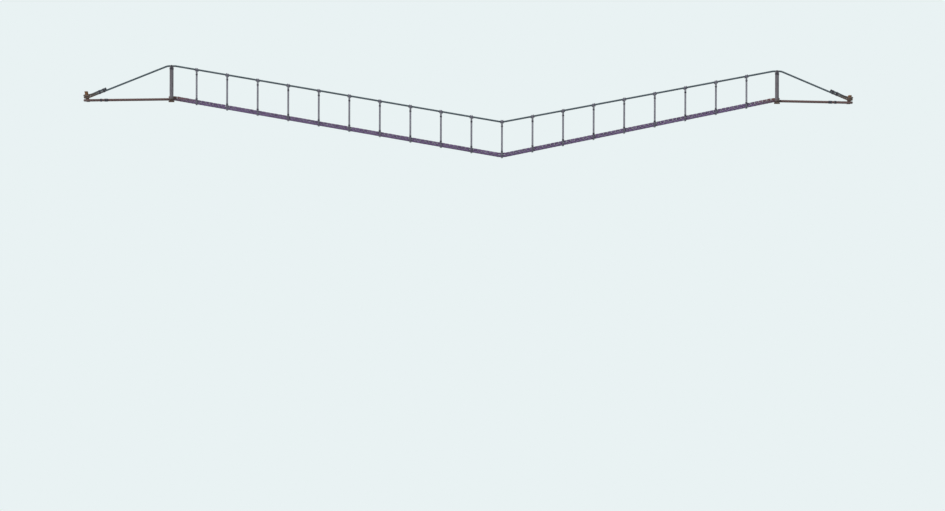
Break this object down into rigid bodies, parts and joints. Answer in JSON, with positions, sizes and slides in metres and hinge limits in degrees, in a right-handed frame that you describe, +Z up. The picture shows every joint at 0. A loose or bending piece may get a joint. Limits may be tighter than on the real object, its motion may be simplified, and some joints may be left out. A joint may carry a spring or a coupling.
{
  "type": "rope suspension footbridge",
  "caption": "Rope footbridge that hangs in a shallow V between short posts, with a board deck on foot ropes, hand ropes, rope slings and stake anchorages.",
  "frame": {"origin": "middle of the left sill's underside, at ground level", "axes": "+X along the bridge from the left bank to the right bank, +Y from the near side to the far side, +Z up"},
  "size_m": [21.1784, 1.24, 2.5331],
  "materials": {
    "tarred_rope": "weathered tarred hemp",
    "sling_rope": "weathered hemp",
    "deck_timber": "sawn and weathered",
    "post_timber": "peeled and weathered",
    "footing_timber": "hewn and soiled"
  },
  "bodies": {
    "root": {"left_sill": "footing_timber", "left_near_post": "post_timber", "left_near_stake": "footing_timber", "left_far_post": "post_timber", "left_far_stake": "footing_timber", "right_sill": "footing_timber", "right_near_post": "post_timber", "right_near_stake": "footing_timber", "right_far_post": "post_timber", "right_far_stake": "footing_timber", "near_hand_rope": "tarred_rope", "near_foot_rope": "tarred_rope", "far_hand_rope": "tarred_rope", "far_foot_rope": "tarred_rope", "hanger_sling_01": "sling_rope", "hanger_sling_02": "sling_rope", "hanger_sling_03": "sling_rope", "hanger_sling_04": "sling_rope", "hanger_sling_05": "sling_rope", "hanger_sling_06": "sling_rope", "hanger_sling_07": "sling_rope", "hanger_sling_08": "sling_rope", "hanger_sling_09": "sling_rope", "hanger_sling_10": "sling_rope", "hanger_sling_11": "sling_rope", "hanger_sling_12": "sling_rope", "hanger_sling_13": "sling_rope", "hanger_sling_14": "sling_rope", "hanger_sling_15": "sling_rope", "hanger_sling_16": "sling_rope", "hanger_sling_17": "sling_rope", "hanger_sling_18": "sling_rope", "hanger_sling_19": "sling_rope", "deck_boards_01": "deck_timber", "deck_boards_02": "deck_timber", "deck_boards_03": "deck_timber", "deck_boards_04": "deck_timber", "deck_boards_05": "deck_timber", "deck_boards_06": "deck_timber", "deck_boards_07": "deck_timber", "deck_boards_08": "deck_timber", "deck_boards_09": "deck_timber", "deck_boards_10": "deck_timber", "deck_boards_11": "deck_timber"}
  },
  "joints": []
}
